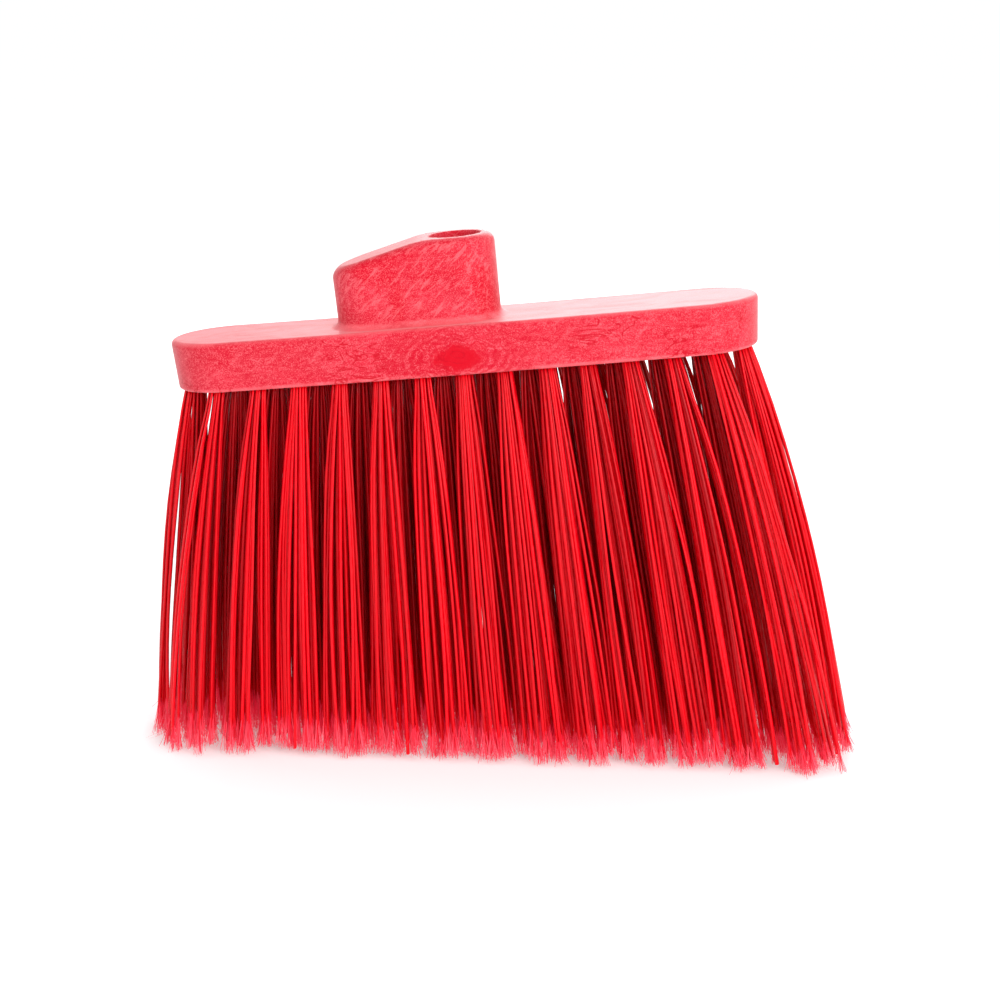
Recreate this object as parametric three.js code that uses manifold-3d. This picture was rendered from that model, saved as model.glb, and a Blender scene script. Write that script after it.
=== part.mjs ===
// Head of an upright angle broom: one moulded block and four rows of tufts.
//
// The block carries a boss with a threaded handle port in its flat top, beside a sloping shoulder.
// The tufts fan out from drilled holes in its underside, and are trimmed at a slant to the block,
// so that the head sweeps flat while its handle leans.
//
// Millimetres and degrees, +Z up. The trim plane, where the tufts end, is z = 0, +X runs along the
// head towards its raised end, and -Y is its front. The origin is the middle of the head's outline
// on the trim plane.
//
// The block and tufts are drawn in a frame of their own, the head frame: x along the block, y
// across it, and z up from the middle of its underside.

import * as THREE from "three";
import { mergeVertices } from "three/addons/utils/BufferGeometryUtils.js";
import Module from "manifold-3d";

const wasm = await Module();
wasm.setup();

// Block
const BLOCK_LENGTH = 274;
const BLOCK_DEPTH = 54.5;
const BLOCK_THICKNESS = 23.1;
const BLOCK_DRAFT = 1.4; // how far its walls lean in at the underside
const BLOCK_TOP_RADIUS = 2.5;
const BLOCK_BOTTOM_RADIUS = 1.2;

// Boss on the block's top face
const BOSS_HEIGHT = 38.5;
const BOSS_DEPTH = 37;
const BOSS_LEFT = -57.2; // x of its left wall at the base
const BOSS_RIGHT = 18.5; // x of its right wall at the base
const BOSS_LEFT_LEAN = 0.8; // how far the left wall leans out at the top
const BOSS_RIGHT_DRAFT = 0.3;
const BOSS_LEFT_RADIUS = 16; // corners of the left wall, seen from above
const BOSS_EDGE_RADIUS = 4.5;
const BOSS_FILLET = 4;
const RIDGE_X = -14.5; // where the flat top meets the sloping shoulder
const SHOULDER_ANGLE = 14.5;

// Handle port: a mouth for the handle's plain barrel, then a trapezoidal broom thread
const MOUTH_DIAMETER = 23.8;
const MOUTH_DEPTH = 5;
const MOUTH_CONE_DEPTH = 2.5;
const THREAD_CREST_DIAMETER = 14.2;
const THREAD_GROOVE_DIAMETER = 19.2;
const THREAD_PITCH = 5.08;
const THREAD_FLANK_ANGLE = 14.5;
const THREAD_TURNS = 4.25;
const THREAD_RUNOUT = 1.5; // plain bore left below the last groove
const PORT_X = 0;
const PORT_DEPTH = 32;

// Tufts
const INNER_ROW_TUFTS = 14; // in each inner row
const OUTER_ROW_TUFTS = 13; // in each outer row, set between those of the inner rows
const INNER_ROW_MARGIN = 8.8; // from the block's end to the middle of the row's last tuft
const OUTER_ROW_MARGIN = 22.7;
const INNER_ROW_Y = 6.4;
const OUTER_ROW_Y = 19;
const HOLE_DIAMETER = 7;
const HOLE_DEPTH = 13;
const HOLE_CLEARANCE = 0.3; // between a tuft and the wall and floor of its hole
const TUFT_GAP = 1.6; // between neighbouring tufts at the trim plane
const TRIM_DROP = 183.5; // from the middle of the underside, square to it, to the trim plane
const TRIM_ANGLE = 5.9; // between the block and the trim plane
const END_SPLAY_ROOT = 11.5; // lean of the inner rows' last tufts along the block, at the block
const END_SPLAY_TIP = 6.2; // and at the trim plane
const ROW_SPLAY_ROOT = 5.5; // lean of the outer rows across the block, at the block
const ROW_SPLAY_TIP = 3; // and at the trim plane

// Facets
const BLOCK_END_STEPS = 20;
const BOSS_CORNER_STEPS = 6;
const BOSS_END_STEPS = 14;
const ROUNDING_STEPS = 3;
const BORE_SIDES = 24;
const TUFT_SIDES = 10;
const TUFT_STEPS = 3;
const OVERRUN = 1; // how far a cutter or a joined piece passes the surface that it starts from

const radians = THREE.MathUtils.degToRad;
const slopeOf = (angle) => Math.tan(radians(angle));

const blockTop = BLOCK_THICKNESS;
const bossTop = blockTop + BOSS_HEIGHT;
const trimSlope = slopeOf(TRIM_ANGLE);

// ---------------------------------------------------------------- solids

// Points of an arc in a horizontal plane, both ends included.
function arc(centreX, centreY, radius, fromAngle, toAngle, steps) {
  return Array.from({ length: steps + 1 }, (_, i) => {
    const angle = radians(fromAngle + ((toAngle - fromAngle) * i) / steps);
    return new THREE.Vector2(
      centreX + radius * Math.cos(angle),
      centreY + radius * Math.sin(angle),
    );
  });
}

// A closed surface through rings of points, with as many points in each ring. The rings run
// counter-clockwise about the way they are stacked, and each end is a fan from its first point.
function loft(rings) {
  const sides = rings[0].length;
  const index = [];
  for (let r = 0; r + 1 < rings.length; r++) {
    for (let i = 0; i < sides; i++) {
      const next = (i + 1) % sides;
      const low = r * sides;
      const high = low + sides;
      index.push(low + i, low + next, high + next);
      index.push(low + i, high + next, high + i);
    }
  }
  const last = (rings.length - 1) * sides;
  for (let i = 1; i + 1 < sides; i++) {
    index.push(0, i + 1, i);
    index.push(last, last + i, last + i + 1);
  }
  return new THREE.BufferGeometry().setFromPoints(rings.flat()).setIndex(index);
}

// The solid that a closed geometry encloses.
function solidFrom(geometry) {
  const bare = geometry.clone();
  bare.deleteAttribute("normal");
  bare.deleteAttribute("uv");
  const merged = mergeVertices(bare, 1e-4);
  const corners = merged.index.array;
  const triangles = [];
  for (let i = 0; i < corners.length; i += 3) {
    const [a, b, c] = corners.slice(i, i + 3);
    if (a !== b && b !== c && c !== a) triangles.push(a, b, c);
  }
  return new wasm.Manifold(
    new wasm.Mesh({
      numProp: 3,
      vertProperties: new Float32Array(merged.attributes.position.array),
      triVerts: new Uint32Array(triangles),
    }),
  );
}

function geometryFrom(solid) {
  const mesh = solid.getMesh();
  return new THREE.BufferGeometry()
    .setAttribute("position", new THREE.BufferAttribute(mesh.vertProperties, mesh.numProp))
    .setIndex(new THREE.BufferAttribute(mesh.triVerts, 1));
}

// How far an edge rounding has come in from the wall, and how far it still is below the top, at
// each step of its quarter turn.
function roundingSteps(radius) {
  return Array.from({ length: ROUNDING_STEPS + 1 }, (_, i) => {
    const angle = radians((90 * i) / ROUNDING_STEPS);
    return { inset: radius * (1 - Math.cos(angle)), below: radius * (1 - Math.sin(angle)) };
  });
}

// ---------------------------------------------------------------- block

// The block's outline at one height: straight sides and full-round ends, drawn in by an inset.
function blockRing(z, inset) {
  const radius = BLOCK_DEPTH / 2 - inset;
  const centreX = (BLOCK_LENGTH - BLOCK_DEPTH) / 2;
  return [
    ...arc(centreX, 0, radius, -90, 90, BLOCK_END_STEPS),
    ...arc(-centreX, 0, radius, 90, 270, BLOCK_END_STEPS),
  ].map((p) => new THREE.Vector3(p.x, p.y, z));
}

function blockBody() {
  const bottom = roundingSteps(BLOCK_BOTTOM_RADIUS)
    .reverse()
    .map(({ inset, below }) => blockRing(below, BLOCK_DRAFT + inset));
  const top = roundingSteps(BLOCK_TOP_RADIUS).map(({ inset, below }) =>
    blockRing(blockTop - below, inset),
  );
  return loft([...bottom, ...top]);
}

// Height of the boss's top at x: flat on the right of the ridge, sloping down on its left.
function bossTopAt(x) {
  return bossTop - Math.max(0, RIDGE_X - x) * slopeOf(SHOULDER_ANGLE);
}

// The boss's outline with its walls at left and right, drawn in by an inset. Its first point and
// the one across from it lie on the ridge, so that a fan from it keeps the top's two planes flat.
function bossOutline(left, right, inset) {
  const half = BOSS_DEPTH / 2 - inset;
  const corner = BOSS_LEFT_RADIUS - inset;
  const cornerX = left + BOSS_LEFT_RADIUS;
  const endX = right - BOSS_DEPTH / 2;
  return [
    new THREE.Vector2(RIDGE_X, half),
    ...arc(cornerX, half - corner, corner, 90, 180, BOSS_CORNER_STEPS),
    ...arc(cornerX, corner - half, corner, 180, 270, BOSS_CORNER_STEPS),
    new THREE.Vector2(RIDGE_X, -half),
    ...arc(endX, 0, half, -90, 90, BOSS_END_STEPS),
  ];
}

function bossBody() {
  const ring = (outline, heightAt) =>
    outline.map((p) => new THREE.Vector3(p.x, p.y, heightAt(p.x)));
  const foot = roundingSteps(BOSS_FILLET).map(({ inset, below }) =>
    ring(bossOutline(BOSS_LEFT, BOSS_RIGHT, -below), () => blockTop + inset),
  );
  const embedded = ring(
    bossOutline(BOSS_LEFT, BOSS_RIGHT, -BOSS_FILLET),
    () => blockTop - OVERRUN,
  );
  const crown = roundingSteps(BOSS_EDGE_RADIUS).map(({ inset, below }) =>
    ring(
      bossOutline(BOSS_LEFT - BOSS_LEFT_LEAN, BOSS_RIGHT - BOSS_RIGHT_DRAFT, inset),
      (x) => bossTopAt(x) - below,
    ),
  );
  return loft([embedded, ...foot, ...crown]);
}

// ---------------------------------------------------------------- handle port

// The space inside the port without its thread. The mouth's middle is the origin, +Z points out.
function portBore() {
  const mouth = MOUTH_DIAMETER / 2;
  const crest = THREAD_CREST_DIAMETER / 2;
  const profile = [
    new THREE.Vector2(0, -PORT_DEPTH),
    new THREE.Vector2(crest, -PORT_DEPTH),
    new THREE.Vector2(crest, -MOUTH_DEPTH - MOUTH_CONE_DEPTH),
    new THREE.Vector2(mouth, -MOUTH_DEPTH),
    new THREE.Vector2(mouth, OVERRUN),
    new THREE.Vector2(0, OVERRUN),
  ];
  return new THREE.LatheGeometry(profile, BORE_SIDES).rotateX(Math.PI / 2);
}

// The helical groove of the port's thread, in the same frame as its bore.
function portGroove() {
  const crest = THREAD_CREST_DIAMETER / 2;
  const groove = THREAD_GROOVE_DIAMETER / 2;
  const pitchRadius = (crest + groove) / 2;
  const halfWidthAt = (r) => THREAD_PITCH / 4 + (pitchRadius - r) * slopeOf(THREAD_FLANK_ANGLE);
  const inner = crest - OVERRUN;
  const section = [
    [inner, -halfWidthAt(inner)],
    [inner, halfWidthAt(inner)],
    [groove, halfWidthAt(groove)],
    [groove, -halfWidthAt(groove)],
  ];
  const start = THREAD_RUNOUT + THREAD_PITCH / 2 - PORT_DEPTH;
  const steps = Math.round(THREAD_TURNS * BORE_SIDES);
  const rings = Array.from({ length: steps + 1 }, (_, i) => {
    const turn = i / BORE_SIDES;
    const angle = 2 * Math.PI * turn;
    const z = start + THREAD_PITCH * turn;
    return section.map(
      ([r, dz]) => new THREE.Vector3(r * Math.cos(angle), r * Math.sin(angle), z + dz),
    );
  });
  return loft(rings);
}

// Everything that the port takes out of the boss.
function portCutter() {
  const [bore, groove] = [portBore(), portGroove()].map((geometry) =>
    solidFrom(geometry.translate(PORT_X, 0, bossTop)),
  );
  return bore.add(groove);
}

// ---------------------------------------------------------------- tufts

const innerEndX = BLOCK_LENGTH / 2 - INNER_ROW_MARGIN;
const outerEndX = BLOCK_LENGTH / 2 - OUTER_ROW_MARGIN;

// Each tuft's name, and the middle of its hole's mouth.
const TUFTS = [
  { row: "front", y: -OUTER_ROW_Y, count: OUTER_ROW_TUFTS, endX: outerEndX },
  { row: "mid_front", y: -INNER_ROW_Y, count: INNER_ROW_TUFTS, endX: innerEndX },
  { row: "mid_back", y: INNER_ROW_Y, count: INNER_ROW_TUFTS, endX: innerEndX },
  { row: "back", y: OUTER_ROW_Y, count: OUTER_ROW_TUFTS, endX: outerEndX },
].flatMap(({ row, y, count, endX }) =>
  Array.from({ length: count }, (_, i) => ({
    name: `tuft_${row}_${String(i + 1).padStart(2, "0")}`,
    x: endX * ((2 * i) / (count - 1) - 1),
    y,
  })),
);

// How far a tuft has moved sideways at a distance below the underside. Its lean eases from its
// root value to its tip value over the trim drop, and it is straight inside its hole.
function drift(share, rootAngle, tipAngle, distance) {
  const rootSlope = share * slopeOf(rootAngle);
  const easing = (share * (slopeOf(rootAngle) - slopeOf(tipAngle))) / (2 * TRIM_DROP);
  return rootSlope * distance - (distance > 0 ? easing * distance ** 2 : 0);
}

// Where the middle of a tuft rooted at x and y lies, at a distance below the underside.
function tuftMiddle(x, y, distance) {
  return new THREE.Vector3(
    x + drift(x / innerEndX, END_SPLAY_ROOT, END_SPLAY_TIP, distance),
    y + drift(y / OUTER_ROW_Y, ROW_SPLAY_ROOT, ROW_SPLAY_TIP, distance),
    -distance,
  );
}

// How far below the underside the middle of a tuft meets the trim plane.
function trimDistance(x) {
  const rootSlope = (x / innerEndX) * slopeOf(END_SPLAY_ROOT);
  const tipSlope = (x / innerEndX) * slopeOf(END_SPLAY_TIP);
  const a = (trimSlope * (rootSlope - tipSlope)) / (2 * TRIM_DROP);
  const b = 1 - trimSlope * rootSlope;
  const c = -TRIM_DROP - trimSlope * x;
  return (-2 * c) / (b + Math.sqrt(b * b - 4 * a * c));
}

// A tuft's radius at the trim plane: half the way between the nearest two, less half the gap.
const tuftTipRadius = (() => {
  const tips = TUFTS.map(({ x, y }) => tuftMiddle(x, y, trimDistance(x)));
  const ways = tips.flatMap((tip, i) => tips.slice(i + 1).map((other) => tip.distanceTo(other)));
  return (Math.min(...ways) - TUFT_GAP) / 2;
})();

// A round ring of a tuft rooted at x and y, level with the block at share 0 and with the trim
// plane at share 1.
function tuftRing(x, y, distance, radius, share) {
  const middle = tuftMiddle(x, y, distance);
  return Array.from({ length: TUFT_SIDES }, (_, i) => {
    const angle = (2 * Math.PI * i) / TUFT_SIDES;
    const dx = radius * Math.cos(angle);
    const dy = radius * Math.sin(angle);
    return middle.clone().add(new THREE.Vector3(dx, dy, -share * dx * trimSlope));
  });
}

// The drilled hole for the tuft rooted at x and y, from just outside the underside.
function holeCutter(x, y) {
  return loft([
    tuftRing(x, y, OVERRUN, HOLE_DIAMETER / 2, 0),
    tuftRing(x, y, -HOLE_DEPTH, HOLE_DIAMETER / 2, 0),
  ]);
}

// A tuft, drawn from the middle of its hole's mouth.
function tuftBody(x, y) {
  const rootRadius = HOLE_DIAMETER / 2 - HOLE_CLEARANCE;
  const length = trimDistance(x);
  const rings = [tuftRing(x, y, HOLE_CLEARANCE - HOLE_DEPTH, rootRadius, 0)];
  for (let i = 0; i <= TUFT_STEPS; i++) {
    const share = i / TUFT_STEPS;
    const radius = rootRadius + (tuftTipRadius - rootRadius) * share;
    rings.push(tuftRing(x, y, share * length, radius, share));
  }
  return loft(rings.reverse()).translate(-x, -y, 0);
}

// ---------------------------------------------------------------- assembly

const blockPlastic = new THREE.MeshStandardMaterial({
  color: 0xef4458,
  roughness: 0.6,
  metalness: 0,
});
const bristlePlastic = new THREE.MeshStandardMaterial({
  color: 0xc8101e,
  roughness: 0.35,
  metalness: 0,
});

function named(name, geometry, material) {
  geometry.computeVertexNormals();
  const mesh = new THREE.Mesh(geometry, material);
  mesh.name = name;
  return mesh;
}

function makeTuft({ name, x, y }) {
  const tuft = named(name, tuftBody(x, y), bristlePlastic);
  tuft.position.set(x, y, 0);
  return tuft;
}

function makeBlock() {
  const holes = TUFTS.map(({ x, y }) => solidFrom(holeCutter(x, y)));
  const solid = solidFrom(blockBody()).add(solidFrom(bossBody()));
  const cut = [portCutter(), ...holes].reduce((rest, cutter) => rest.subtract(cutter), solid);
  return named("block", geometryFrom(cut), blockPlastic);
}

function makeHead() {
  const head = new THREE.Group();
  head.add(makeBlock(), ...TUFTS.map(makeTuft));
  head.rotation.y = -radians(TRIM_ANGLE);
  head.position.z = TRIM_DROP * Math.cos(radians(TRIM_ANGLE));
  const middle = new THREE.Box3().setFromObject(head, true).getCenter(new THREE.Vector3());
  head.position.x -= middle.x;
  head.position.y -= middle.y;
  return head;
}

const angleBroomHead = new THREE.Group();
angleBroomHead.name = "angle_broom_head";
angleBroomHead.add(makeHead());

export default angleBroomHead;
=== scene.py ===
"""Angle broom head: the foamed block and its fanned, flagged tufts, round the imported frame.

The block and tufts are drawn in the head frame, as in the CAD: x along the block, y across it,
and z up from the middle of its underside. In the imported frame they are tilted, with the tufts'
ends on the floor. Shapes are in millimetres. Materials, lights and the camera are in metres.
"""

import math

import bpy
import numpy as np
from mathutils import Matrix, Vector


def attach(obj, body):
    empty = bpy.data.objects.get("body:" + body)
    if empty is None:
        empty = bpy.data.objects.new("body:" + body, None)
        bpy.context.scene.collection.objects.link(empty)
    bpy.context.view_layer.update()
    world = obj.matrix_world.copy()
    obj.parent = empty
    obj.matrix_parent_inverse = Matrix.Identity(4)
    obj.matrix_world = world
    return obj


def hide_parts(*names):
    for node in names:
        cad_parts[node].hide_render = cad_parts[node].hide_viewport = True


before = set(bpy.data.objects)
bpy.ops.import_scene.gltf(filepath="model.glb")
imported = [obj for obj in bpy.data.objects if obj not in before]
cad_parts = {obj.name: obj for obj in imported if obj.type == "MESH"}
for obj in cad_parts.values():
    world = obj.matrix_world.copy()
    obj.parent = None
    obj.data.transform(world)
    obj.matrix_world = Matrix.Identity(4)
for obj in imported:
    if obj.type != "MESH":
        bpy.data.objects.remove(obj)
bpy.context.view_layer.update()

MM = 0.001

# ---------------------------------------------------------------- sizes, as in the CAD

BLOCK_LENGTH = 274.0
BLOCK_DEPTH = 54.5
BLOCK_THICKNESS = 23.1
BLOCK_DRAFT = 1.4
BLOCK_TOP_RADIUS = 2.5
BLOCK_BOTTOM_RADIUS = 1.2

BOSS_TOP = BLOCK_THICKNESS + 38.5
BOSS_DEPTH = 37.0
BOSS_LEFT = -57.2
BOSS_RIGHT = 18.5
BOSS_LEFT_LEAN = 0.8
BOSS_RIGHT_DRAFT = 0.3
BOSS_LEFT_RADIUS = 16.0
BOSS_EDGE_RADIUS = 4.5
BOSS_FILLET = 4.0
RIDGE_X = -14.5
SHOULDER_ANGLE = math.radians(14.5)

MOUTH_RADIUS = 11.9
MOUTH_DEPTH = 5.0
MOUTH_CONE_DEPTH = 2.5
CREST_RADIUS = 7.1
GROOVE_RADIUS = 9.6
THREAD_PITCH = 5.08
THREAD_FLANK = math.radians(14.5)
THREAD_RUNOUT = 1.5
PORT_X = 0.0
PORT_DEPTH = 32.0

INNER_ROW_MARGIN = 8.8
OUTER_ROW_MARGIN = 22.7
INNER_ROW_Y = 6.4
OUTER_ROW_Y = 19.0
HOLE_RADIUS = 3.5
HOLE_DEPTH = 13.0
TRIM_DROP = 183.5
TRIM_ANGLE = math.radians(5.9)
END_SPLAY = (math.radians(11.5), math.radians(6.2))  # at the block, at the trim plane
ROW_SPLAY = (math.radians(5.5), math.radians(3.0))

ROWS = (
    ("front", -OUTER_ROW_Y, 13, OUTER_ROW_MARGIN),
    ("mid_front", -INNER_ROW_Y, 14, INNER_ROW_MARGIN),
    ("mid_back", INNER_ROW_Y, 14, INNER_ROW_MARGIN),
    ("back", OUTER_ROW_Y, 13, OUTER_ROW_MARGIN),
)
INNER_END_X = BLOCK_LENGTH / 2 - INNER_ROW_MARGIN
OUTER_END_X = BLOCK_LENGTH / 2 - OUTER_ROW_MARGIN

# ---------------------------------------------------------------- block's finish

VOXEL = 0.95  # of the block's surface net
NET_MARGIN = 2.3  # voxels that the net's field has round the block
SETTLE_PASSES = 3  # that bring the net's points onto the surface
SETTLE_STEP = 0.4  # of a voxel, the furthest that a point moves in one pass
LEAST_STEEPNESS = 0.3  # keeps those moves small where the field is flat
GRADIENT_REACH = 0.05  # to each side of a point, for the field's slope there
RIM_RADIUS = 0.6  # broken edges round the port and holes
RIDGE_SOFTNESS = 1.5  # of the crease where the boss's shoulder starts
WARP = 0.7  # how much higher the block's ends are than its middle
WARP_LEVEL = 0.35  # the share of that by which the middle has sunk

# ---------------------------------------------------------------- filaments

FILAMENTS = 26  # that leave each hole
RIBS = 4
FILAMENT_RADIUS = 0.84  # to the tips of the ribs
FILAMENT_VALLEY = 0.66  # between them
FILAMENT_VARIATION = 0.05  # of the radius
TWIST = 0.2  # radians from end to end
FOLD_DEPTH = HOLE_DEPTH - 2.0  # where the filaments start, over the staple
SQUEEZED = 0.7  # of a filament's width, where the hole presses the tuft together
FREE_AT = 45.0  # below the block, where a filament has its full width
FILAMENT_RINGS = 15
RING_SPACING = 0.9  # below 1: closer towards the trim

BUNDLE_RADIUS = 2.88  # of the filaments' middles in the hole
BUNDLE_JITTER = 0.08  # jitters are standard deviations
FAN = np.array([12.5, 9.8])  # radii of the fan at the trim, along and across the head
FAN_JITTER = (1.7, 1.3)
FAN_CURVE = {"front": 0.68, "mid_front": 0.42, "mid_back": 0.42, "back": 0.46}  # lower: sooner
FILAMENT_BOW = (1.2, 0.9)  # sideways, halfway down
BOW_PAST_TRIM = 1.1  # of the trim's depth, where the bow stops changing
SWAY = (0.28, 0.22)  # of a slight wave along each filament
SWAY_WAVES = 1.3
SWAY_ONSET = 4  # it sets in over the first quarter
END_REACH = 7.0  # how much further the last tufts of the outer rows lean out at the trim
END_REACH_POWER = 5  # the higher, the fewer tufts share in it
CLUMPS = 7  # groups that a tuft's ends gather in
CLUMPING = 0.3
CLUMP_HEIGHTS = (0.5, 3.0)  # of the clumps' ends over the floor
END_JITTER = 0.4  # of the filaments' heights in a clump
LEAST_HEIGHT = 0.15
TRIM_PASSES = 6  # that find where a filament meets its height

TONE = (0.7, 0.2)  # mean and spread of the filaments' tones, from 0, dark, to 1, bright
PAINTED_SHADE_TONE = 0.35  # painted shade: the share of that tone the inner rows keep at the block, where the outer rows shade them
PAINTED_SHADE_HEIGHT = 180.0  # over the floor: from there down the painted shade fades
END_LIGHT_POWER = 9  # the higher, the fewer of their tufts are spared the painted shade, as lit from the head's ends

# ---------------------------------------------------------------- flags

FLAG_LENGTH = 18.5  # at the left end
FLAG_SHORTENING = 6.0  # by the right end
FLAG_JITTER = 2.2
LEAST_FLAG = 7.0
BLUNT_FLAG = 0.6  # of a filament that hasn't split
BLUNT_SHARE = 0.03
BLUNT_SHARE_RIGHT = 0.1  # more of them from the middle to the right
THINNING = ((0.22, 0.8), (0.5, 0.5), (0.72, 0.2))  # how far down the flag, and the width left

FLAG_HAIRS = 18  # per filament
HAIR_RADIUS = 0.15
HAIR_TIP = 0.6  # of its radius
HAIR_RADII = (0.75, 1.45)  # thinnest and thickest, as shares of the radius
HAIR_RINGS = 5
HAIR_SIDES = 3
HAIR_START = (-0.08, 0.3)  # shares of the flag's length, from its top
HAIR_END_JITTER = 0.6
HAIR_INNERMOST = 0.02  # of a flag's section, clear of hairs at its middle
HAIR_SCATTER = 0.2
FLAG_SPREAD = 3.0  # how far its hairs stand out at the floor
HAIR_SPREADS = (0.75, 1.25)  # least and most of that
HAIR_SPREAD_CURVE = 1.25  # above 1: most of it near the tip
HAIR_BEND = 0.35  # sideways at the tip
CURL = 3.2  # the same, for hairs that curl
CURLED_SHARE = 0.05
STRAY_SHARE = 0.035  # hairs that turn up and aside
STRAY_LIFT = (2, 7)
STRAY_REACH = 5
FLOOR_CLEARANCE = 0.05  # of the lowest hairs
HAIR_TONE_CURVE = 1.3  # above 1: most hairs are deeper in colour
HAIR_TONE_ROOT = 0.15  # of the tone at the tip

STRIP_ASPECT = 8  # length over width of a tube's strip in the UV map
STRIP_SIDE_GAP = 0.06  # shares of its cell
STRIP_END_GAP = 0.02

SEED = 20
FLAG_SEED = SEED + 500

# ---------------------------------------------------------------- staples

STAPLE_HALF = 2.6  # half the width between the legs
STAPLE_LEGS = 5.0
STAPLE_BEND = 1.0  # radius of its corners
STAPLE_BEND_POINTS = 4
STAPLE_RADIUS = 0.45
STAPLE_POINT = 0.12  # radius at the legs' ends
STAPLE_SIDES = 6

# ---------------------------------------------------------------- marks on the block, in metres

GATE_X, GATE_Z = -0.001, 0.0078
GATE_LENGTH, GATE_HEIGHT = 0.0112, 0.0058  # radii of its blush
GATE_WANDER = 0.011  # how uneven its outline is
FRONT_Y = (-0.0235, -0.0250)  # between these the front's own marks fade in
FOLDS_X = -0.048  # the middle of the patch of folds left of the gate
FOLDS_REACH = (0.022, 0.010)  # from there, where they start and are fully there
FOLDS_TOP = (0.0225, 0.0205)
BOSS_Z = (0.022, 0.030)  # between these the boss's own marks fade in
STROKE_SLANT = 0.75  # radians
# where the painted highlights along the block's top and under edges lie
TOP_EDGE_Z = 0.0238
TOP_EDGE_REACH = (0.0026, 0.0006)
UNDER_EDGE_Z = (0.0024, 0.0008)

# ---------------------------------------------------------------- studio, in metres

FLOOR_HALF = 60.0
FLOOR_Z = -0.0004
KEY_LIGHT = {"place": (0.8, -1.35, 0.62), "target": (0, 0, 0.12), "size": 0.95, "power": 17}
BACK_LIGHT = {"place": (0.1, 1.3, 0.8), "target": (0, 0, 0.2), "size": 1.1, "power": 11}
CAMERA_TARGET = (-0.0040, 0, 0.1177)
CAMERA_HEADING = math.radians(3.02)
CAMERA_HEIGHT = math.radians(14.3)
CAMERA_ROLL = math.radians(0.86)
CAMERA_DISTANCE = 1.0
CAMERA_SENSOR, CAMERA_LENS = 36, 75.9  # millimetres

# ---------------------------------------------------------------- head frame


def head_matrix():
    """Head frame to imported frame: tilted by the trim angle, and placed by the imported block."""
    tilt = Matrix.Rotation(-TRIM_ANGLE, 4, "Y")
    block = np.array([v.co[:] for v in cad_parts["block"].data.vertices])
    upright = block @ np.array(tilt.to_3x3())
    low, high = upright.min(0), upright.max(0)
    middle = Vector(((low[0] + high[0]) / 2, (low[1] + high[1]) / 2, low[2]))
    return tilt @ Matrix.Translation(middle)


HEAD = head_matrix()
HEAD_ROTATION = np.array(HEAD.to_3x3())
HEAD_ORIGIN = np.array(HEAD.translation) / MM


def to_packed(points):
    """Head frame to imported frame, both in millimetres."""
    return points @ HEAD_ROTATION.T + HEAD_ORIGIN


def warp_at(x):
    """How far up the block has warped: down a little in its middle, and up at its ends."""
    return WARP * ((2 * x / BLOCK_LENGTH) ** 2 - WARP_LEVEL)


# ---------------------------------------------------------------- tuft places


def tuft_roots():
    """Each tuft's name and the x and y of its hole's mouth."""
    roots = []
    for row, y, count, margin in ROWS:
        end = BLOCK_LENGTH / 2 - margin
        for i in range(count):
            x = end * (2 * i / (count - 1) - 1)
            roots.append((row, f"tuft_{row}_{i + 1:02d}", x, y))
    return roots


ROOTS = tuft_roots()


def drift(share, splay, distance):
    """Sideways move of a tuft's middle at a distance below the underside."""
    root, tip = math.tan(splay[0]), math.tan(splay[1])
    below = np.maximum(distance, 0)
    return share * (root * distance - (root - tip) / (2 * TRIM_DROP) * below**2)


# ---------------------------------------------------------------- block surface
#
# The block is an implicit surface, negative inside, in head frame millimetres.


def both(a, b, radius):
    """Intersection with its edge rounded."""
    round_off = np.hypot(np.maximum(radius + a, 0), np.maximum(radius + b, 0))
    return np.minimum(-radius, np.maximum(a, b)) + round_off


def joined(a, b, radius):
    """Union with a fillet."""
    fillet = np.hypot(np.maximum(radius - a, 0), np.maximum(radius - b, 0))
    return np.maximum(radius, np.minimum(a, b)) - fillet


def soft_max(a, b, width):
    """The larger of the two, with the crease between them softened."""
    near = np.maximum(width - np.abs(a - b), 0) / width
    return np.maximum(a, b) + near**2 * width / 4


def block_body(x, y, z):
    centre = (BLOCK_LENGTH - BLOCK_DEPTH) / 2
    radius = BLOCK_DEPTH / 2 - BLOCK_DRAFT * (1 - z / BLOCK_THICKNESS)
    wall = np.hypot(np.maximum(np.abs(x) - centre, 0), y) - radius
    body = both(wall, z - BLOCK_THICKNESS, BLOCK_TOP_RADIUS)
    return both(body, -z, BLOCK_BOTTOM_RADIUS)


def boss_body(x, y, z):
    rise = (z - BLOCK_THICKNESS) / (BOSS_TOP - BLOCK_THICKNESS)
    left = BOSS_LEFT - BOSS_LEFT_LEAN * rise
    right = BOSS_RIGHT - BOSS_RIGHT_DRAFT * rise
    across = x - (left + right) / 2
    corner = np.where(across > 0, BOSS_DEPTH / 2, BOSS_LEFT_RADIUS)
    out_x = np.abs(across) - (right - left) / 2 + corner
    out_y = np.abs(y) - BOSS_DEPTH / 2 + corner
    wall = np.minimum(np.maximum(out_x, out_y), 0) - corner
    wall += np.hypot(np.maximum(out_x, 0), np.maximum(out_y, 0))
    slope = (RIDGE_X - x) * math.sin(SHOULDER_ANGLE) + (z - BOSS_TOP) * math.cos(SHOULDER_ANGLE)
    top = soft_max(z - BOSS_TOP, slope, RIDGE_SOFTNESS)
    return np.maximum(both(wall, top, BOSS_EDGE_RADIUS), BLOCK_THICKNESS / 2 - z)


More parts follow.
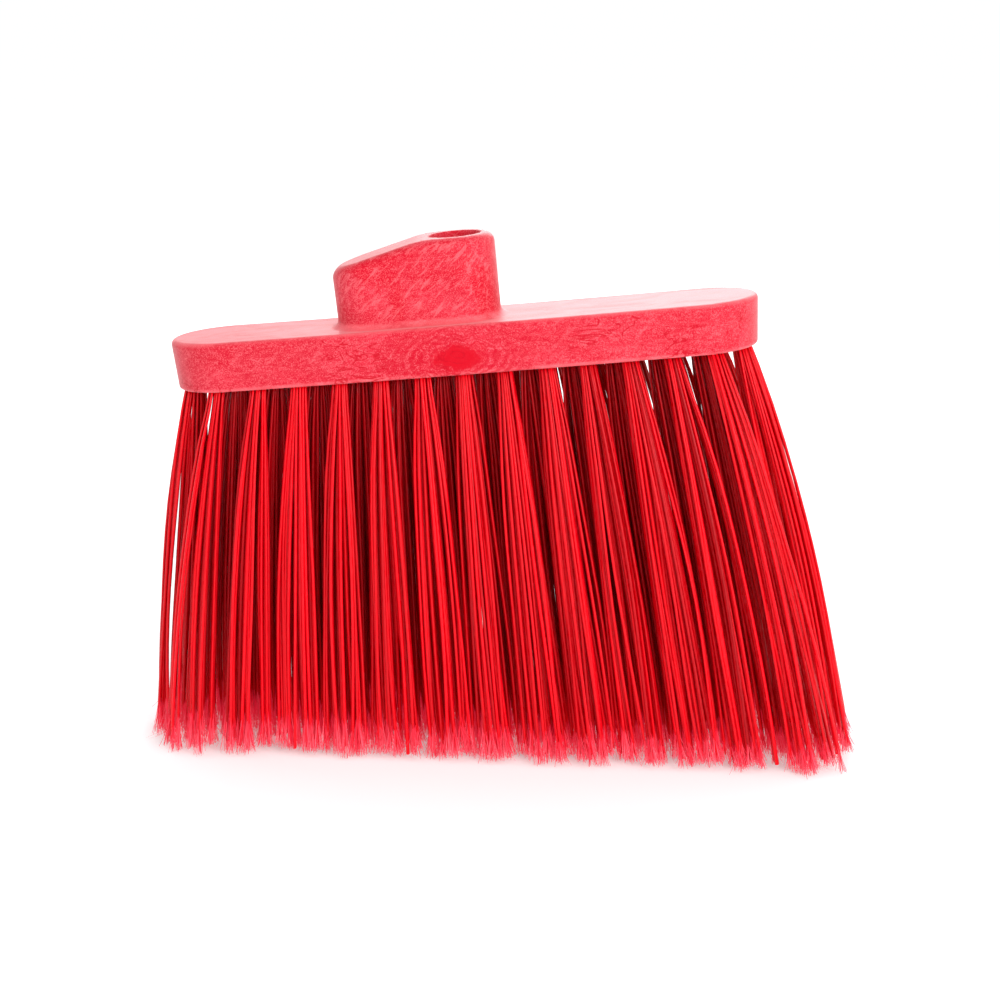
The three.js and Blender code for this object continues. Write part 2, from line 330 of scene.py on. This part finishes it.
def port_space(x, y, z):
    """The space inside the handle port: its mouth, its cone, its bore and its thread."""
    across, along = x - PORT_X, z - BOSS_TOP
    r = np.hypot(across, y)
    turn = np.arctan2(y, across) / (2 * math.pi)
    widening = MOUTH_RADIUS - CREST_RADIUS
    cone = (r - CREST_RADIUS) * MOUTH_CONE_DEPTH
    cone = cone - (along + MOUTH_DEPTH + MOUTH_CONE_DEPTH) * widening
    mouth = np.maximum(cone / math.hypot(widening, MOUTH_CONE_DEPTH), r - MOUTH_RADIUS)
    bore = np.maximum(r - CREST_RADIUS, -along - PORT_DEPTH)
    start = THREAD_RUNOUT + THREAD_PITCH / 2 - PORT_DEPTH
    phase = (along - start) / THREAD_PITCH - turn
    off = THREAD_PITCH * np.abs((phase + 0.5) % 1 - 0.5)
    middle = (CREST_RADIUS + GROOVE_RADIUS) / 2
    flank = (off - THREAD_PITCH / 4) * math.cos(THREAD_FLANK)
    flank = flank + (r - middle) * math.sin(THREAD_FLANK)
    floor = r - GROOVE_RADIUS + np.maximum(start - along, 0)
    return np.minimum(np.minimum(mouth, bore), np.maximum(flank, floor))


def hole_space(x, y, z):
    """The space inside the nearest tuft hole."""
    space = np.full(x.shape, np.inf)
    for _, _, root_x, root_y in ROOTS:
        centre_x = root_x + drift(root_x / INNER_END_X, END_SPLAY, -z)
        centre_y = root_y + drift(root_y / OUTER_ROW_Y, ROW_SPLAY, -z)
        np.minimum(space, np.hypot(x - centre_x, y - centre_y), out=space)
    return np.maximum(space - HOLE_RADIUS, z - HOLE_DEPTH)


def block_field(x, y, z):
    z = z - warp_at(x)
    body = joined(block_body(x, y, z), boss_body(x, y, z), BOSS_FILLET)
    body = both(body, -hole_space(x, y, z), RIM_RADIUS)
    return both(body, -port_space(x, y, z), RIM_RADIUS)


def surface_net(field, origin, step):
    """Points and outward quads of the surface where a sampled field changes sign."""
    cells = np.array(field.shape) - 1
    total = np.zeros((*cells, 3))
    count = np.zeros(cells)
    crossings = []
    for axis in range(3):
        low, high = [slice(None)] * 3, [slice(None)] * 3
        low[axis], high[axis] = slice(None, -1), slice(1, None)
        a, b = field[tuple(low)], field[tuple(high)]
        cross = (a < 0) != (b < 0)
        share = np.where(cross, a / np.where(cross, a - b, 1), 0)
        u, v = [k for k in range(3) if k != axis]
        for du, dv in ((0, 0), (0, 1), (1, 0), (1, 1)):
            part = [slice(None)] * 3
            part[u], part[v] = slice(du, du + cells[u]), slice(dv, dv + cells[v])
            here = cross[tuple(part)]
            total[..., axis] += share[tuple(part)]
            total[..., u] += du * here
            total[..., v] += dv * here
            count += here
        crossings.append((axis, u, v, cross, a < 0))
    used = count > 0
    ids = np.full(cells, -1)
    ids[used] = np.arange(used.sum())
    points = origin + step * (np.argwhere(used) + total[used] / count[used][:, None])
    quads = []
    for axis, u, v, cross, low_solid in crossings:
        inner = [slice(None)] * 3
        inner[u], inner[v] = slice(1, -1), slice(1, -1)
        at = np.argwhere(cross[tuple(inner)])
        at[:, u] += 1
        at[:, v] += 1
        corners = []
        for du, dv in ((1, 1), (0, 1), (0, 0), (1, 0)):
            cell = at.copy()
            cell[:, u] -= du
            cell[:, v] -= dv
            corners.append(ids[tuple(cell.T)])
        faces = np.stack(corners, 1)
        backward = low_solid[tuple(at.T)] == (axis == 1)
        faces[backward] = faces[backward][:, ::-1]
        quads.append(faces)
    return points, np.concatenate(quads)


def gradient(points):
    """The field's slope at each point."""
    slopes = []
    for axis in range(3):
        shift = np.zeros(3)
        shift[axis] = GRADIENT_REACH
        slopes.append(block_field(*(points + shift).T) - block_field(*(points - shift).T))
    return np.stack(slopes, 1) / (2 * GRADIENT_REACH)


def block_surface():
    """The block's points, quads and normals."""
    margin = NET_MARGIN * VOXEL
    low = -np.array([BLOCK_LENGTH / 2, BLOCK_DEPTH / 2, 0]) - margin
    high = np.array([BLOCK_LENGTH / 2, BLOCK_DEPTH / 2, BOSS_TOP]) + margin
    axes = [np.arange(a, b + VOXEL, VOXEL) for a, b in zip(low, high)]
    field = block_field(*np.meshgrid(*axes, indexing="ij"))
    points, quads = surface_net(field, low, VOXEL)
    for _ in range(SETTLE_PASSES):
        slope = gradient(points)
        steepness = np.maximum((slope**2).sum(1), LEAST_STEEPNESS)
        move = -(block_field(*points.T) / steepness)[:, None] * slope
        points += np.clip(move, -SETTLE_STEP * VOXEL, SETTLE_STEP * VOXEL)
    slope = gradient(points)
    normals = slope / np.maximum(np.linalg.norm(slope, axis=1), 1e-6)[:, None]
    return points, quads, normals


# ---------------------------------------------------------------- meshes


def new_object(name, points, faces, material):
    """A smooth mesh object in a material slot, from points in millimetres."""
    mesh = bpy.data.meshes.new(name)
    mesh.from_pydata((np.asarray(points) * MM).tolist(), [], [list(f) for f in faces])
    mesh.shade_smooth()
    mesh.materials.append(material)
    piece = bpy.data.objects.new(name, mesh)
    bpy.context.scene.collection.objects.link(piece)
    return piece


def circle(angle):
    """Unit vectors across the head at these angles."""
    return np.stack([np.cos(angle), np.sin(angle), np.zeros_like(angle)], -1)


def tube_faces(count, rings, sides):
    """Faces of many tubes, each with its rings of points in order and both ends closed."""
    ring = np.arange(sides)
    after = (ring + 1) % sides
    steps = np.arange(rings - 1)[:, None] * sides
    low, low_next = steps + ring, steps + after
    wall = np.stack([low + sides, low_next + sides, low_next, low], -1).reshape(-1, 4)
    starts = np.arange(count)[:, None, None] * rings * sides
    faces = (starts + wall).reshape(-1, 4).tolist()
    for start in starts[:, 0, 0]:
        faces.append((start + ring).tolist())
        faces.append((start + (rings - 1) * sides + ring[::-1]).tolist())
    return faces


def strip_map(piece, count, rings, sides):
    """A UV map with one strip for each tube, along its length."""
    mesh = piece.data
    corner_points = np.empty(len(mesh.loops), int)
    mesh.loops.foreach_get("vertex_index", corner_points)
    columns = math.ceil(math.sqrt(count * STRIP_ASPECT))
    rows = math.ceil(count / columns)
    tube, rest = np.divmod(corner_points, rings * sides)
    ring, side = np.divmod(rest, sides)
    totals = np.empty(len(mesh.polygons), int)
    mesh.polygons.foreach_get("loop_total", totals)
    starts = np.concatenate([[0], np.cumsum(totals)[:-1]])
    face = np.repeat(np.arange(len(totals)), totals)
    last = np.maximum.reduceat(side, starts)[face]
    first = np.minimum.reduceat(side, starts)[face]
    wraps = (last == sides - 1) & (first == 0) & (totals[face] == 4)
    around = np.where(wraps & (side == 0), sides, side) / sides
    along = ring / (rings - 1)
    u = (tube % columns + STRIP_SIDE_GAP + (1 - 2 * STRIP_SIDE_GAP) * around) / columns
    v = (tube // columns + STRIP_END_GAP + (1 - 2 * STRIP_END_GAP) * along) / rows
    layer = mesh.uv_layers.new(name="OFBake")
    layer.data.foreach_set("uv", np.stack([u, v], 1).ravel())


def shade_points(piece, values):
    """Gives each point the tone that its material reads."""
    layer = piece.data.attributes.new("shade", "FLOAT", "POINT")
    layer.data.foreach_set("value", np.asarray(values, np.float32).ravel())


# ---------------------------------------------------------------- materials


def srgb(red, green, blue):
    """A linear colour from its usual numbers, 0 to 255."""

    def linear(c):
        c /= 255
        return c / 12.92 if c <= 0.04045 else ((c + 0.055) / 1.055) ** 2.4

    return (linear(red), linear(green), linear(blue), 1)


class Nodes:
    """Short calls for building one material's nodes. Noise scales are per metre."""

    def __init__(self, name):
        self.material = bpy.data.materials.new(name)
        self.material.use_nodes = True
        self.tree = self.material.node_tree
        self.shader = self.tree.nodes["Principled BSDF"]

    def link(self, source, socket):
        if hasattr(source, "is_output"):
            self.tree.links.new(source, socket)
        else:
            socket.default_value = source

    def make(self, kind, inputs, output=0, **settings):
        node = self.tree.nodes.new(kind)
        for key, value in settings.items():
            setattr(node, key, value)
        for key, value in inputs.items():
            self.link(value, node.inputs[key])
        return node.outputs[output]

    def math(self, operation, a, b=0.0, clamp=False):
        inputs = {0: a, 1: b}
        return self.make("ShaderNodeMath", inputs, operation=operation, use_clamp=clamp)

    def plus(self, a, b):
        return self.math("ADD", a, b)

    def minus(self, a, b):
        return self.math("SUBTRACT", a, b)

    def times(self, a, b):
        return self.math("MULTIPLY", a, b)

    def apart(self, a, b):
        return self.math("ABSOLUTE", self.minus(a, b))

    def blend(self, factor, a, b):
        inputs = {0: factor, 6: a, 7: b}
        return self.make("ShaderNodeMix", inputs, output=2, data_type="RGBA")

    def ramp(self, value, low, high, out_low=0.0, out_high=1.0):
        inputs = {0: value, 1: low, 2: high, 3: out_low, 4: out_high}
        return self.make("ShaderNodeMapRange", inputs, interpolation_type="SMOOTHSTEP")

    def noise(self, vector, scale, detail=2.0, roughness=0.5, distortion=0.0):
        inputs = {
            "Vector": vector,
            "Scale": scale,
            "Detail": detail,
            "Roughness": roughness,
            "Distortion": distortion,
        }
        return self.make("ShaderNodeTexNoise", inputs)

    def stretch(self, vector, scale, offset=(0, 0, 0), turn=(0, 0, 0)):
        inputs = {"Vector": vector, "Scale": scale, "Location": offset, "Rotation": turn}
        return self.make("ShaderNodeMapping", inputs)

    def object_place(self):
        return self.make("ShaderNodeTexCoord", {}, output=3)

    def shade(self):
        return self.make("ShaderNodeAttribute", {}, output=2, attribute_name="shade")

    def bump(self, height, strength, distance, normal=None):
        inputs = {"Height": height, "Strength": strength, "Distance": distance}
        if normal:
            inputs["Normal"] = normal
        return self.make("ShaderNodeBump", inputs)

    def finish(self, **inputs):
        for name, value in inputs.items():
            self.link(value, self.shader.inputs[name.replace("_", " ")])
        return self.material


def block_material():
    """Foamed plastic: fine speckle, flow marks, the gate's blush on the front, and painted
    highlights along the edges.
    """
    n = Nodes("foamed_block")
    place = n.make("ShaderNodeAttribute", {}, output=1, attribute_name="place")
    parts = n.tree.nodes.new("ShaderNodeSeparateXYZ")
    n.link(place, parts.inputs[0])
    x, y, z = parts.outputs
    front = n.ramp(y, *FRONT_Y)

    grain = n.noise(place, 1900, 4.0, 0.75)
    streaks = n.noise(n.stretch(place, (0.3, 1, 1)), 700, 2, 0.55)
    cloud = n.noise(n.stretch(place, (0.6, 1, 1)), 62, 3, 0.6, 0.9)
    speckle = n.plus(n.times(grain, 0.8), n.times(streaks, 0.2))
    pale = n.ramp(speckle, 0.48, 0.61)
    deep = n.ramp(speckle, 0.5, 0.39)

    # The gate's blush: a smooth saturated ellipse, with flow lines round it.
    wander = n.times(n.minus(n.noise(place, 190, 3), 0.5), GATE_WANDER)
    gate_x = n.math("DIVIDE", n.plus(n.minus(x, GATE_X), wander), GATE_LENGTH)
    gate_z = n.math("DIVIDE", n.minus(n.plus(z, wander), GATE_Z), GATE_HEIGHT)
    reach = n.math("SQRT", n.plus(n.times(gate_x, gate_x), n.times(gate_z, gate_z)))
    blush = n.times(n.ramp(reach, 1.35, 0.6), front)
    halo = n.times(n.ramp(reach, 4.6, 1.2), front)
    waves = n.math("SINE", n.times(reach, 17.0))
    rings = n.times(n.ramp(waves, -0.3, 0.6), halo)

    # Flow marks: thin saturated lines where the melt folded over, in a few patches.
    folds = n.noise(n.stretch(place, (0.55, 1, 1.3), (0.013, 0, 0.004)), 90, 2.5, 0.5, 1.8)
    fold_line = n.ramp(n.apart(folds, 0.5), 0.03, 0.004)
    patches = n.ramp(n.noise(n.stretch(place, (0.8, 1, 1), (0.31, 0.2, 0)), 34, 1), 0.48, 0.6)
    left_of_gate = n.ramp(n.apart(x, FOLDS_X), *FOLDS_REACH)
    patches = n.math("MAXIMUM", patches, n.times(left_of_gate, front))
    patches = n.times(patches, n.ramp(z, *FOLDS_TOP))
    fold_line = n.times(fold_line, patches)

    # Smooth saturated skin between the foam's swirls, and slanting strokes, most on the boss.
    swirl = n.noise(n.stretch(place, (1, 1, 0.8), (0.2, 0, 0.1)), 46, 4, 0.62, 0.6)
    on_boss = n.ramp(z, *BOSS_Z, 0.3, 1.0)
    skin = n.times(n.ramp(swirl, 0.45, 0.6), on_boss)
    slanted = n.stretch(place, (1, 1, 1), turn=(0, STROKE_SLANT, 0))
    strokes = n.noise(n.stretch(slanted, (0.2, 1, 1)), 480, 2.5, 0.6, 0.6)
    strokes = n.times(n.ramp(strokes, 0.5, 0.68), on_boss)

    # Painted highlights along the edges: round the underside, along the top edge and up the boss's
    # fillet.
    edge = n.ramp(n.apart(z, TOP_EDGE_Z), *TOP_EDGE_REACH)
    edge = n.math("MAXIMUM", edge, n.ramp(z, *UNDER_EDGE_Z))
    edge = n.times(edge, n.ramp(cloud, 0.25, 0.6))

    base = n.blend(n.ramp(cloud, 0.3, 0.75), srgb(196, 26, 46), srgb(210, 46, 63))
    layers = (  # where, how strongly, and in which colour
        (skin, 0.9, srgb(198, 0, 30)),
        (pale, 0.6, srgb(230, 110, 117)),
        (deep, 0.6, srgb(184, 6, 30)),
        (strokes, 0.45, srgb(232, 116, 122)),
        # painted highlight along the block's edges
        (edge, 0.5, srgb(244, 118, 124)),
        (rings, 0.65, srgb(190, 0, 30)),
        (blush, 0.95, srgb(196, 0, 24)),
        (fold_line, 0.85, srgb(184, 0, 24)),
    )
    for mask, strength, colour in layers:
        base = n.blend(n.times(mask, strength), base, colour)

    calm = n.minus(1.0, n.times(n.math("MAXIMUM", blush, skin), 0.75))
    height = n.bump(n.times(speckle, calm), 0.45, 0.00014)
    return n.finish(
        Base_Color=base,
        Roughness=n.ramp(speckle, 0.35, 0.7, 0.42, 0.56),
        Normal=n.bump(fold_line, 0.35, -0.0002, height),
        Specular_IOR_Level=0.35,
        Specular_Tint=(1, 0.25, 0.32, 1),
        Sheen_Weight=0.22,
        Sheen_Roughness=0.35,
    )


def filament_material():
    """Smooth extruded plastic, each filament a little darker or lighter than the next."""
    n = Nodes("bristle_filament")
    place, shade = n.object_place(), n.shade()
    streak = n.noise(n.stretch(place, (1, 1, 0.02)), 900, 1)
    # the shade attribute holds each filament's own tone, and painted shade on the inner rows near
    # the block
    tone = n.plus(n.times(shade, 0.75), n.times(streak, 0.25))
    return n.finish(
        Base_Color=n.blend(tone, srgb(144, 0, 6), srgb(248, 2, 24)),
        Roughness=n.ramp(streak, 0.3, 0.7, 0.24, 0.32),
        Normal=n.bump(streak, 0.1, 0.0001),
        Specular_IOR_Level=0.36,
        Specular_Tint=(1, 0.54, 0.58, 1),
    )


def flag_material():
    """Split filament ends, which turn paler the finer they are.

    Their glow stands for the light that passes through such fine hairs.
    """
    n = Nodes("bristle_flags")
    place, shade = n.object_place(), n.shade()
    fleck = n.noise(n.stretch(place, (1, 1, 0.15)), 800, 1)
    tone = n.math("ADD", shade, n.times(n.minus(fleck, 0.5), 0.4), clamp=True)
    return n.finish(
        Base_Color=n.blend(tone, srgb(232, 0, 42), srgb(255, 146, 162)),
        Roughness=0.5,
        Specular_IOR_Level=0.3,
        Emission_Color=(1, 0.03, 0.09, 1),
        Emission_Strength=0.2,
    )


def staple_material():
    """Drawn steel wire."""
    n = Nodes("staple_wire")
    drawn = n.noise(n.stretch(n.object_place(), (0.1, 1, 1)), 900, 2)
    return n.finish(
        Base_Color=n.blend(drawn, srgb(150, 148, 142), srgb(196, 194, 188)),
        Metallic=1.0,
        Roughness=n.ramp(drawn, 0.3, 0.7, 0.28, 0.42),
    )


# ---------------------------------------------------------------- pieces


def make_block(material):
    points, quads, normals = block_surface()
    piece = new_object("block_moulding", to_packed(points), quads, material)
    piece.data.normals_split_custom_set_from_vertices(normals @ HEAD_ROTATION.T)
    place = piece.data.attributes.new("place", "FLOAT_VECTOR", "POINT")
    place.data.foreach_set("vector", (points * MM).astype(np.float32).ravel())
    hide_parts("block")
    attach(piece, "root")


class Tuft:
    """The paths of one tuft's filaments, as functions of the distance below the underside."""

    def __init__(self, row, x, y, rng):
        self.x, self.y = x, y
        self.curve = FAN_CURVE[row]
        order = np.arange(FILAMENTS)
        # Each is turned from the last by the golden angle, which fills the circle evenly.
        turn = order * math.pi * (3 - math.sqrt(5)) + rng.uniform(0, 2 * math.pi)
        spread = np.sqrt((order + 0.5) / FILAMENTS)
        unit = np.stack([np.cos(turn), np.sin(turn)], 1) * spread[:, None]
        self.root = unit * BUNDLE_RADIUS + rng.normal(0, BUNDLE_JITTER, unit.shape)
        self.tip = unit * FAN + rng.normal(0, 1, unit.shape) * FAN_JITTER
        if abs(y) > INNER_ROW_Y:
            self.tip[:, 0] += END_REACH * (x / OUTER_END_X) ** END_REACH_POWER
        leaders = self.tip[rng.choice(FILAMENTS, CLUMPS, replace=False)]
        apart = np.linalg.norm(self.tip[:, None] - leaders, axis=2)
        self.clump = np.argmin(apart, axis=1)
        self.tip += CLUMPING * (leaders[self.clump] - self.tip)
        self.bow = rng.normal(0, 1, unit.shape) * FILAMENT_BOW + unit
        self.sway = rng.normal(0, 1, unit.shape) * SWAY
        self.phase = rng.uniform(0, 2 * math.pi, FILAMENTS)
        self.end = self.trim(rng)

    def at(self, distance, chosen=slice(None)):
        """Points of the chosen filaments, each at its row of distances."""
        t = np.clip(distance / TRIM_DROP, 0, None)[..., None]
        root, tip = self.root[chosen][:, None], self.tip[chosen][:, None]
        spread = root + (tip - root) * t**self.curve
        bowed = np.sin(math.pi * np.minimum(t, BOW_PAST_TRIM))
        spread = spread + self.bow[chosen][:, None] * bowed
        waves = np.sin(2 * math.pi * t * SWAY_WAVES + self.phase[chosen][:, None, None])
        spread = spread + self.sway[chosen][:, None] * waves * np.minimum(SWAY_ONSET * t, 1)
        x = self.x + drift(self.x / INNER_END_X, END_SPLAY, distance) + spread[..., 0]
        y = self.y + drift(self.y / OUTER_ROW_Y, ROW_SPLAY, distance) + spread[..., 1]
        return np.stack([x, y, -distance], -1)

    def trim(self, rng):
        """How far down each filament goes, to end at its own height over the floor."""
        heights = rng.uniform(*CLUMP_HEIGHTS, CLUMPS)[self.clump]
        heights = heights + rng.normal(0, END_JITTER, FILAMENTS)
        heights = np.maximum(heights, LEAST_HEIGHT)
        distance = np.full(FILAMENTS, TRIM_DROP)
        for _ in range(TRIM_PASSES):
            z = to_packed(self.at(distance[:, None])[:, 0])[:, 2]
            distance += (z - heights) / math.cos(TRIM_ANGLE)
        return distance


def filament_points(tuft, flag, rng):
    """Ring points of each filament, from inside its hole to where its flag has thinned it."""
    share = np.linspace(0, 1, FILAMENT_RINGS - len(THINNING)) ** RING_SPACING
    body_end = tuft.end - flag
    body = -FOLD_DEPTH + (body_end + FOLD_DEPTH)[:, None] * share
    down, thinned = np.array(THINNING).T
    thin = body_end[:, None] + flag[:, None] * down
    distance = np.concatenate([body, thin], 1)
    size = np.concatenate([np.ones(share.size), thinned])
    blunt = flag < LEAST_FLAG
    squeezed = SQUEEZED + (1 - SQUEEZED) * np.clip(distance / FREE_AT, 0, 1)
    sizes = np.where(blunt[:, None], 1.0, size) * squeezed
    side = np.arange(2 * RIBS)
    radius = np.where(side % 2 == 0, FILAMENT_RADIUS, FILAMENT_VALLEY)
    angle = side * math.pi / RIBS + rng.uniform(0, 2 * math.pi, FILAMENTS)[:, None]
    twist = rng.normal(0, TWIST, FILAMENTS)[:, None] * np.linspace(0, 1, FILAMENT_RINGS)
    width = radius * rng.normal(1, FILAMENT_VARIATION, FILAMENTS)[:, None]
    ring = circle(angle[:, None] + twist[..., None])
    ring = ring * (sizes[..., None] * width[:, None])[..., None]
    return tuft.at(distance)[:, :, None] + ring


def hair_points(tuft, flag, rng):
    """Ring points of the fine hairs that each filament's end is split into."""
    split = np.flatnonzero(flag >= LEAST_FLAG)
    filament = np.repeat(split, FLAG_HAIRS)
    count = filament.size
    turn = rng.uniform(0, 2 * math.pi, count)
    spread = np.sqrt(rng.uniform(HAIR_INNERMOST, 1, count)) * rng.normal(1, HAIR_SCATTER, count)
    out = np.stack([np.cos(turn), np.sin(turn)], 1) * spread[:, None]
    s = np.linspace(0, 1, HAIR_RINGS)
    start = rng.uniform(*HAIR_START, count)
    begin = (tuft.end - flag)[filament] + flag[filament] * start
    reach = tuft.end[filament] - np.abs(rng.normal(0, HAIR_END_JITTER, count))
    distance = begin[:, None] + (reach - begin)[:, None] * s
    path = tuft.at(distance, filament)
    fan = FLAG_SPREAD * rng.uniform(*HAIR_SPREADS, count)
    path[..., :2] += (out * fan[:, None])[:, None] * (s**HAIR_SPREAD_CURVE)[None, :, None]
    path[..., :2] += (out * FILAMENT_VALLEY)[:, None] * (1 - s)[None, :, None]
    bend = rng.normal(0, 1, (count, 2))
    bend *= np.where(rng.random(count) < CURLED_SHARE, CURL, HAIR_BEND)[:, None]
    path[..., :2] += bend[:, None] * (s**2)[None, :, None]
    stray = rng.random(count) < STRAY_SHARE
    lift = np.where(stray, rng.uniform(*STRAY_LIFT, count), 0)
    aside = np.where(stray, rng.normal(0, STRAY_REACH, count), 0)
    path[..., 2] += lift[:, None] * s**2
    path[..., 0] += aside[:, None] * s**2
    ring = circle(turn[:, None] + np.arange(HAIR_SIDES) * 2 * math.pi / HAIR_SIDES)
    taper = HAIR_RADIUS * (1 - (1 - HAIR_TIP) * s)
    size = taper * rng.uniform(*HAIR_RADII, count)[:, None]
    return path[:, :, None] + ring[:, None] * size[..., None, None]


def flag_lengths(x, rng):
    """How long each filament's frayed end is: shorter towards the right, and some are blunt."""
    right = (x + BLOCK_LENGTH / 2) / BLOCK_LENGTH
    lengths = rng.normal(FLAG_LENGTH - FLAG_SHORTENING * right, FLAG_JITTER, FILAMENTS)
    blunt_share = BLUNT_SHARE + BLUNT_SHARE_RIGHT * max(0, right - 0.5)
    blunt = rng.random(FILAMENTS) < blunt_share
    return np.where(blunt, BLUNT_FLAG, np.maximum(lengths, LEAST_FLAG))


def inner_row_painted_shade(x, heights):
    """How much of its tone a filament of the inner rows keeps at these heights, under painted
    shade.
    """
    down = np.clip(1 - heights / PAINTED_SHADE_HEIGHT, 0, 1)
    light = np.maximum(abs(x / INNER_END_X) ** END_LIGHT_POWER, down)
    return PAINTED_SHADE_TONE + (1 - PAINTED_SHADE_TONE) * light


def make_tufts(filament, flags):
    hairs = {}
    for number, (row, name, x, y) in enumerate(ROOTS):
        rng = np.random.default_rng(SEED + number)
        tuft = Tuft(row, x, y, rng)
        flag = flag_lengths(x, rng)
        tubes = filament_points(tuft, flag, rng)
        count, rings, sides = tubes.shape[:3]
        points = to_packed(tubes.reshape(-1, 3))
        tone = np.repeat(np.clip(rng.normal(*TONE, count), 0, 1), rings * sides)
        # painted shade: the inner rows are darkened near the block, where the outer rows shade
        # them
        if row.startswith("mid"):
            tone *= inner_row_painted_shade(x, points[:, 2])
        faces = tube_faces(count, rings, sides)
        piece = new_object(name + "_filaments", points, faces, filament)
        shade_points(piece, tone)
        strip_map(piece, count, rings, sides)
        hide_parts(name)
        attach(piece, "root")
        hairs.setdefault(row, []).append(hair_points(tuft, flag, rng))
    for row, parts in hairs.items():
        tubes = np.concatenate(parts)
        count, rings, sides = tubes.shape[:3]
        points = to_packed(tubes.reshape(-1, 3))
        points[:, 2] = np.maximum(points[:, 2], FLOOR_CLEARANCE)
        faces = tube_faces(count, rings, sides)
        piece = new_object(f"flags_{row}", points, faces, flags)
        rng = np.random.default_rng(FLAG_SEED + count)
        tone = np.repeat(rng.uniform(0, 1, count) ** HAIR_TONE_CURVE, rings * sides)
        along = np.tile(np.repeat(np.linspace(HAIR_TONE_ROOT, 1, rings), sides), count)
        shade_points(piece, tone * along)
        strip_map(piece, count, rings, sides)
        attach(piece, "root")


def make_staples(material):
    """A bent wire in each hole: its crown holds the tuft's fold, and its legs bite upwards."""
    corner = [
        (STAPLE_BEND * (1 - math.cos(a)) - STAPLE_HALF, STAPLE_BEND * (1 - math.sin(a)))
        for a in np.linspace(0, math.pi / 2, STAPLE_BEND_POINTS)
    ]
    left = [(-STAPLE_HALF, STAPLE_LEGS)] + corner
    path = np.array(left + [(-a, b) for a, b in reversed(left)])
    ahead = np.gradient(path, axis=0)
    ahead /= np.linalg.norm(ahead, axis=1)[:, None]
    angle = np.arange(STAPLE_SIDES) * 2 * math.pi / STAPLE_SIDES
    size = np.full(len(path), STAPLE_RADIUS)
    size[[0, -1]] = STAPLE_POINT
    wire = np.zeros((len(path), STAPLE_SIDES, 3))
    wire[..., 0] = path[:, :1] - ahead[:, 1:] * np.cos(angle) * size[:, None]
    wire[..., 2] = path[:, 1:] + ahead[:, :1] * np.cos(angle) * size[:, None]
    wire[..., 1] = np.sin(angle) * size[:, None]
    tubes = []
    for _, _, x, y in ROOTS:
        hole_x = x + drift(x / INNER_END_X, END_SPLAY, -FOLD_DEPTH)
        hole_y = y + drift(y / OUTER_ROW_Y, ROW_SPLAY, -FOLD_DEPTH)
        tubes.append(wire + (hole_x, hole_y, FOLD_DEPTH))
    points = to_packed(np.array(tubes).reshape(-1, 3))
    faces = tube_faces(len(tubes), len(path), STAPLE_SIDES)
    piece = new_object("tuft_staples", points, faces, material)
    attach(piece, "root")


# ---------------------------------------------------------------- studio


def make_floor():
    """Matt and nearly white. It is a little blue-green, against the red light off the tufts."""
    n = Nodes("pale_floor")
    material = n.finish(
        Base_Color=(0.70, 0.745, 0.75, 1),
        Roughness=0.9,
        Specular_IOR_Level=0.0,
        Emission_Color=(1, 1, 1, 1),
        Emission_Strength=0.3,
    )
    corners = ((-1, -1), (1, -1), (1, 1), (-1, 1))
    points = [(FLOOR_HALF * x, FLOOR_HALF * y, FLOOR_Z) for x, y in corners]
    mesh = bpy.data.meshes.new("floor")
    mesh.from_pydata(points, [], [(0, 1, 2, 3)])
    mesh.materials.append(material)
    floor = bpy.data.objects.new("floor", mesh)
    bpy.context.scene.collection.objects.link(floor)


def make_light(name, place, target, size, power):
    """A round area light that faces its target."""
    lamp = bpy.data.lights.new(name, "AREA")
    lamp.shape = "DISK"
    lamp.size = size
    lamp.energy = power
    light = bpy.data.objects.new(name, lamp)
    light.location = place
    light.rotation_mode = "QUATERNION"
    light.rotation_quaternion = (Vector(target) - Vector(place)).to_track_quat("-Z", "Y")
    bpy.context.scene.collection.objects.link(light)


def make_world():
    """Even white light from all round."""
    world = bpy.data.worlds.new("studio")
    world.use_nodes = True
    background = world.node_tree.nodes["Background"]
    background.inputs["Color"].default_value = (1, 1, 1, 1)
    background.inputs["Strength"].default_value = 1.0
    bpy.context.scene.world = world
    bpy.context.scene.view_settings.view_transform = "Standard"


def make_camera():
    """A long lens in front of the head, a little above it and to its right."""
    level = math.cos(CAMERA_HEIGHT)
    back = Vector(
        (
            math.sin(CAMERA_HEADING) * level,
            -math.cos(CAMERA_HEADING) * level,
            math.sin(CAMERA_HEIGHT),
        )
    )
    lens = bpy.data.cameras.new("camera")
    lens.sensor_width = CAMERA_SENSOR
    lens.lens = CAMERA_LENS
    camera = bpy.data.objects.new("camera", lens)
    camera.rotation_mode = "QUATERNION"
    camera.location = Vector(CAMERA_TARGET) + CAMERA_DISTANCE * back
    look = (-back).to_track_quat("-Z", "Y").to_matrix() @ Matrix.Rotation(CAMERA_ROLL, 3, "Z")
    camera.rotation_quaternion = look.to_quaternion()
    bpy.context.scene.collection.objects.link(camera)
    bpy.context.scene.camera = camera


make_camera()
make_world()
make_light("key", **KEY_LIGHT)
make_light("back", **BACK_LIGHT)
make_floor()
make_block(block_material())
make_tufts(filament_material(), flag_material())
make_staples(staple_material())
